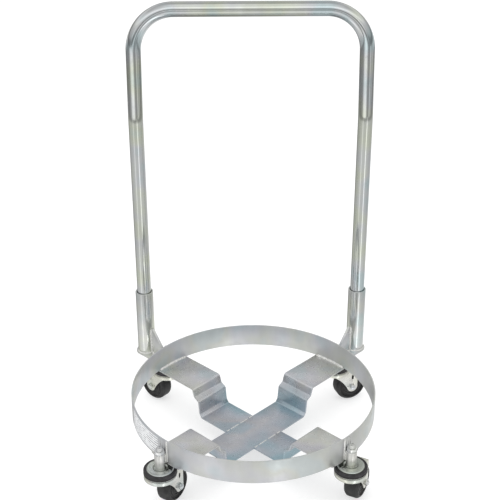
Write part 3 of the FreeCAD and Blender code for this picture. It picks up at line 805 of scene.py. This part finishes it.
def bead(bm, route, into, weld, copy=0):
    """A fillet bead along route. into gives, at each point, the two directions that span the
    corner it fills. The face is rippled like a laid weld, and copy makes its ripple differ."""
    leg, seed = weld
    wobble = random.Random(seed + copy).random() * 6.28
    lengths = [0.0]
    for a, b in zip(route, route[1:]):
        lengths.append(lengths[-1] + (b - a).length)
    total = lengths[-1]
    pitch = leg * 0.55
    face_points = 7
    rows = []
    for point, (first, second), run in zip(route, into, lengths):
        phase = (run / pitch) % 1.0
        # laid ripples, with a slower wander under them, and thin ends
        ripple = 1.0 - 0.16 * phase + 0.05 * math.sin(run * 900 + wobble)
        taper = min(1.0, 0.45 + min(run, total - run) / (leg * 1.5))
        size = leg * ripple * taper
        row = [bm.verts.new(point)]
        for i in range(face_points):
            angle = math.pi / 2 * i / (face_points - 1)
            bulge = size * (1.0 - 0.22 * math.sin(2 * angle))
            row.append(bm.verts.new(point + first * (bulge * math.cos(angle))
                                    + second * (bulge * math.sin(angle))))
        rows.append(row)
    join_rows(bm, rows)
    cap_rows(bm, rows)


def straight_bead(bm, start, end, first, second, weld, copy=0):
    steps = max(6, int((end - start).length / 0.0006))
    route = [start.lerp(end, i / steps) for i in range(steps + 1)]
    bead(bm, route, [(first, second)] * len(route), weld, copy)


def arc_bead(bm, centre, radius, start, end, steps, weld, copy=0, side=1):
    """A bead standing on a flat face along an arc: outside it where side is 1, inside for -1."""
    route, into = [], []
    for i in range(steps + 1):
        spoke = outward(start + (end - start) * i / steps, 1.0)
        route.append(centre + spoke * radius)
        into.append((spoke * side, UP))
    bead(bm, route, into, weld, copy)


def add_welds(name, bm):
    add_trim(new_piece(name, bm, WELD, 60), "frame")


def ring_strap_welds():
    """Fillets inside the ring, where it stands on each strap end."""
    bm = bmesh.new()
    spread = math.asin(STRAP_WIDTH / 2 / RING_INNER) * 0.96
    for quarter in range(4):
        middle = math.radians(45 + 90 * quarter)
        arc_bead(bm, Vector(), RING_INNER, middle - spread, middle + spread, 150,
                 RING_STRAP_WELD, quarter, side=-1)
    add_welds("ring_strap_welds", bm)


def crossing_welds():
    """Low broken beads over the two butt joints at the crossing."""
    bm = bmesh.new()
    along = outward(math.radians(45), 1.0)
    across = outward(math.radians(135), 1.0)
    half = STRAP_WIDTH / 2
    for sign in (-1, 1):
        start = along * -half + across * half * sign + Vector((0, 0, CROSSING_TOP))
        end = along * half + across * half * sign + Vector((0, 0, CROSSING_TOP))
        for first, last in SEAM_RUNS:
            for lean in (-1, 1):
                straight_bead(bm, start.lerp(end, first), start.lerp(end, last),
                              across * lean * SEAM_SPREAD, UP * SEAM_RISE, SEAM_WELD,
                              sign + lean)
    add_welds("crossing_welds", bm)


def front_socket_welds():
    """Upright beads from ring to pad and from pad to socket."""
    ring_reach = math.sqrt(RING_OUTER ** 2 - PAD_HALF ** 2)
    # a bead's foot on the socket's wall, measured from the socket's axis
    foot_side = 0.58 * SOCKET_RADIUS
    foot_inward = 0.815 * SOCKET_RADIUS
    for corner in FRONT:
        bm = bmesh.new()
        swivel = swivel_point(corner)
        angle = bearing_of(swivel)
        out = outward(angle, 1.0)
        side = outward(angle + math.pi / 2, 1.0)
        for sign in (-1, 1):
            foot = out * ring_reach + side * PAD_HALF * sign
            straight_bead(bm, foot + UP * 1.0 * MM, foot + UP * (RING_HEIGHT - 0.5 * MM),
                          side * sign, out * 0.8, RING_PAD_WELD, sign)
            touch = swivel + side * foot_side * sign - out * foot_inward
            straight_bead(bm, touch + UP * 1.0 * MM, touch + UP * (SOCKET_TOP - 1.0 * MM),
                          side * sign, out * 0.9, PAD_SOCKET_WELD, sign)
        add_welds("socket_welds_" + corner, bm)


def gusset_welds(bm, corner, out, side):
    """On both faces of a gusset, beads to the handle's socket, the plate and the caster's
    socket."""
    inner_reach = swivel_point(corner).length + SOCKET_RADIUS
    outer_reach = handle_foot(corner).length - HANDLE_SOCKET_RADIUS
    for sign in (-1, 1):
        edge = side * GUSSET_HALF * sign
        inner_foot = out * inner_reach + edge + UP * PLATE_TOP
        outer_foot = out * outer_reach + edge + UP * PLATE_TOP
        straight_bead(bm, outer_foot, out * outer_reach + edge + UP * GUSSET_BEAD_TOP,
                      side * sign, -out, GUSSET_HANDLE_WELD, sign)
        straight_bead(bm, inner_foot, outer_foot, side * sign, UP, GUSSET_PLATE_WELD, sign)
        straight_bead(bm, inner_foot, out * inner_reach + edge + UP * SOCKET_TOP,
                      side * sign, out, GUSSET_CASTER_WELD, sign)


def rear_bracket_welds():
    """Round the handle's sockets, along the gussets, and where the plates meet the ring."""
    gusset_gap = 0.17
    ring_spread = math.asin(PLATE_HALF_WIDTH / RING_OUTER)
    for corner in REAR:
        bm = bmesh.new()
        foot = handle_foot(corner)
        angle = bearing_of(foot)
        start = angle + math.pi + gusset_gap
        end = angle + 3 * math.pi - gusset_gap
        steps = int(HANDLE_SOCKET_RADIUS * (end - start) / 0.0007)
        arc_bead(bm, foot + UP * PLATE_TOP, HANDLE_SOCKET_RADIUS, start, end, steps,
                 HANDLE_SOCKET_WELD)
        gusset_welds(bm, corner, outward(angle, 1.0), outward(angle + math.pi / 2, 1.0))
        arc_bead(bm, UP * PLATE_TOP, RING_OUTER, angle - ring_spread, angle + ring_spread, 60,
                 RING_PLATE_WELD)
        add_welds("bracket_welds_" + corner, bm)


# ---------------------------------------------------------------- threads and fasteners


def threaded_rod(bm, where, radius, bottom, top, pitch, around=48):
    """A rod with a helical thread between bottom and top and a chamfered point."""
    depth = pitch * 0.54
    chamfer_slope = 0.9
    rows_per_turn = 8
    rows = []
    count = int((top - bottom) / pitch * rows_per_turn)
    for k in range(count + 1):
        z = bottom + (top - bottom) * k / count
        row = []
        for i in range(around):
            angle = 2 * math.pi * i / around
            phase = (z / pitch - i / around) % 1.0
            ridge = 1.0 - abs(phase * 2.0 - 1.0)
            # the crests and the roots are a little flat
            groove = depth * min(1.0, max(0.0, ridge * 1.25 - 0.12))
            point_cut = max(0.0, z - (top - STEM_POINT)) * chamfer_slope
            r = radius - max(groove, point_cut)
            row.append(bm.verts.new(where @ outward(angle, r, z)))
        rows.append(row)
    join_rows(bm, rows)
    cap_rows(bm, rows)


def make_stems():
    """Each stem: a plain shank and kingpin below, and a real thread from the socket up."""
    for corner in CORNERS:
        where = station_matrix(corner)
        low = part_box("caster_stem_" + corner)[0].z
        head_top = low + KINGPIN_HEAD_HEIGHT
        profile = [
            (0.0, low),
            (KINGPIN_HEAD_RADIUS - KINGPIN_HEAD_CHAMFER, low),
            (KINGPIN_HEAD_RADIUS, low + KINGPIN_HEAD_CHAMFER),
            (KINGPIN_HEAD_RADIUS, head_top),
            (KINGPIN_RADIUS, head_top),
            (KINGPIN_RADIUS, STEM_SHOULDER),
            (STEM_RADIUS, STEM_SHOULDER),
            (STEM_RADIUS, SOCKET_TOP),
            (0.0, SOCKET_TOP),
        ]
        bm = bmesh.new()
        lathe_open(bm, profile, where, 48)
        threaded_rod(bm, where, STEM_RADIUS, SOCKET_TOP, STEM_TOP, THREAD_PITCH)
        stand_for(new_piece("threaded_stem_" + corner, bm, HARDWARE, 50),
                  "caster_stem_" + corner)


def make_fasteners():
    for node, name, width in (("stem_nuts", "hex_nuts", 0.5 * MM),
                              ("stem_washers", "flat_washers", 0.4 * MM)):
        stand_for(softened(node, name, width, HARDWARE), node)


# ---------------------------------------------------------------- casters


def make_race_disc(corner):
    profile = [
        (7.5, -15.5), (16.5, -15.5), (19.5, -13.0), (30.0, -13.0), (32.5, -15.0), (32.5, -17.5),
        (34.5, -17.5), (34.5, -14.0), (31.7, -11.0), (18.5, -11.0), (15.5, -13.5), (7.5, -13.5),
    ]
    radii = [0, 1.5, 1.5, 1.5, 1.0, 0.4, 0.5, 2.6, 2.8, 2.0, 1.6, 0]
    bm = bmesh.new()
    lathe_into(bm, rounded_mm(profile, radii), station_matrix(corner), 96)
    stand_for(new_piece("race_disc_" + corner, bm, RACE), "caster_race_disc_" + corner)


def make_bumper(corner):
    profile = [
        (34.6, -26.2), (41.5, -26.2), (41.5, -23.2), (40.5, -22.4), (40.5, -21.6), (41.2, -20.8),
        (41.2, -14.0), (34.6, -14.0),
    ]
    radii = [0.5, 1.4, 0.6, 0.3, 0.3, 0.6, 2.6, 1.2]
    bm = bmesh.new()
    lathe_into(bm, rounded_mm(profile, radii), station_matrix(corner), 96)
    stand_for(new_piece("bumper_ring_" + corner, bm, BUMPER_RUBBER),
              "caster_bumper_ring_" + corner)


def make_wheel(corner):
    """A wheel whose two sides are dished, with a hub and three moulded ridges on the web."""
    half = WHEEL_HALF_WIDTH
    web = half - WHEEL_WEB_DEPTH
    side = [
        (7.5 * MM, half), (11.5 * MM, half), (13.0 * MM, web), (17.0 * MM, web),
        (17.5 * MM, web + 1.2 * MM), (19.2 * MM, web + 1.2 * MM), (19.7 * MM, web),
        (23.5 * MM, web), (24.1 * MM, web + 1.8 * MM), (26.4 * MM, web + 1.8 * MM),
        (27.0 * MM, web), (29.8 * MM, web), (30.3 * MM, web + 1.0 * MM),
        (31.6 * MM, web + 1.0 * MM), (32.1 * MM, web), (34.0 * MM, web), (35.5 * MM, half),
        (WHEEL_RADIUS - TREAD_EDGE, half), (WHEEL_RADIUS, half - TREAD_EDGE),
    ]
    side_radii = [0.3, 1.0, 1.0, 0.6, 0.4, 0.4, 0.6, 0.8, 0.5, 0.5, 0.8, 0.6, 0.3, 0.3, 0.6, 0.8,
                  1.0, 3.5, 3.5]
    outline = side + [(r, -z) for r, z in reversed(side)]
    radii = [r * MM for r in side_radii + side_radii[::-1]]
    bm = bmesh.new()
    lathe_into(bm, rounded(outline, radii), wheel_matrix(corner), 112)
    stand_for(new_piece("rubber_wheel_" + corner, bm, WHEEL_RUBBER), "wheel_" + corner)


def make_casters():
    for corner in CORNERS:
        make_race_disc(corner)
        make_bumper(corner)
        make_wheel(corner)
        fork = softened("caster_fork_" + corner, "fork_" + corner, 0.7 * MM, PRESSED, 30.0)
        stand_for(fork, "caster_fork_" + corner)
        for node in ("axle_bolt_", "axle_nut_"):
            piece = softened(node + corner, node.replace("axle", "wheel") + corner, 0.4 * MM,
                             HARDWARE)
            stand_for(piece, node + corner)


# ---------------------------------------------------------------- label and kept CAD pieces


def make_label():
    """A small sticker on the outside of the ring, left of the front."""
    bm = bmesh.new()
    inside, outside = RING_OUTER, RING_OUTER + LABEL_THICKNESS
    section = [(inside, LABEL_LOW), (outside, LABEL_LOW), (outside, LABEL_HIGH),
               (inside, LABEL_HIGH)]
    steps = 40
    rows = []
    for i in range(steps + 1):
        angle = LABEL_START + (LABEL_END - LABEL_START) * i / steps
        rows.append([bm.verts.new(outward(angle, radius, height)) for radius, height in section])
    join_rows(bm, rows)
    cap_rows(bm, rows)
    add_trim(new_piece("ruled_label", bm, LABEL), "frame")


def finish_kept_nodes():
    """The CAD pieces that stay as they are get their finish."""
    for name, node in frame["nodes"].items():
        if name == "swivel_balls":
            finish = BALL_STEEL
        elif name.startswith("wheel_bushing"):
            finish = HARDWARE
        else:
            continue
        node.data.materials.clear()
        node.data.materials.append(finish)


add_camera()
add_studio()
make_ring()
make_straps()
make_stem_sockets()
make_filler_pads()
make_handle_brackets()
make_handle()
ring_strap_welds()
crossing_welds()
front_socket_welds()
rear_bracket_welds()
make_stems()
make_fasteners()
make_casters()
make_label()
finish_kept_nodes()
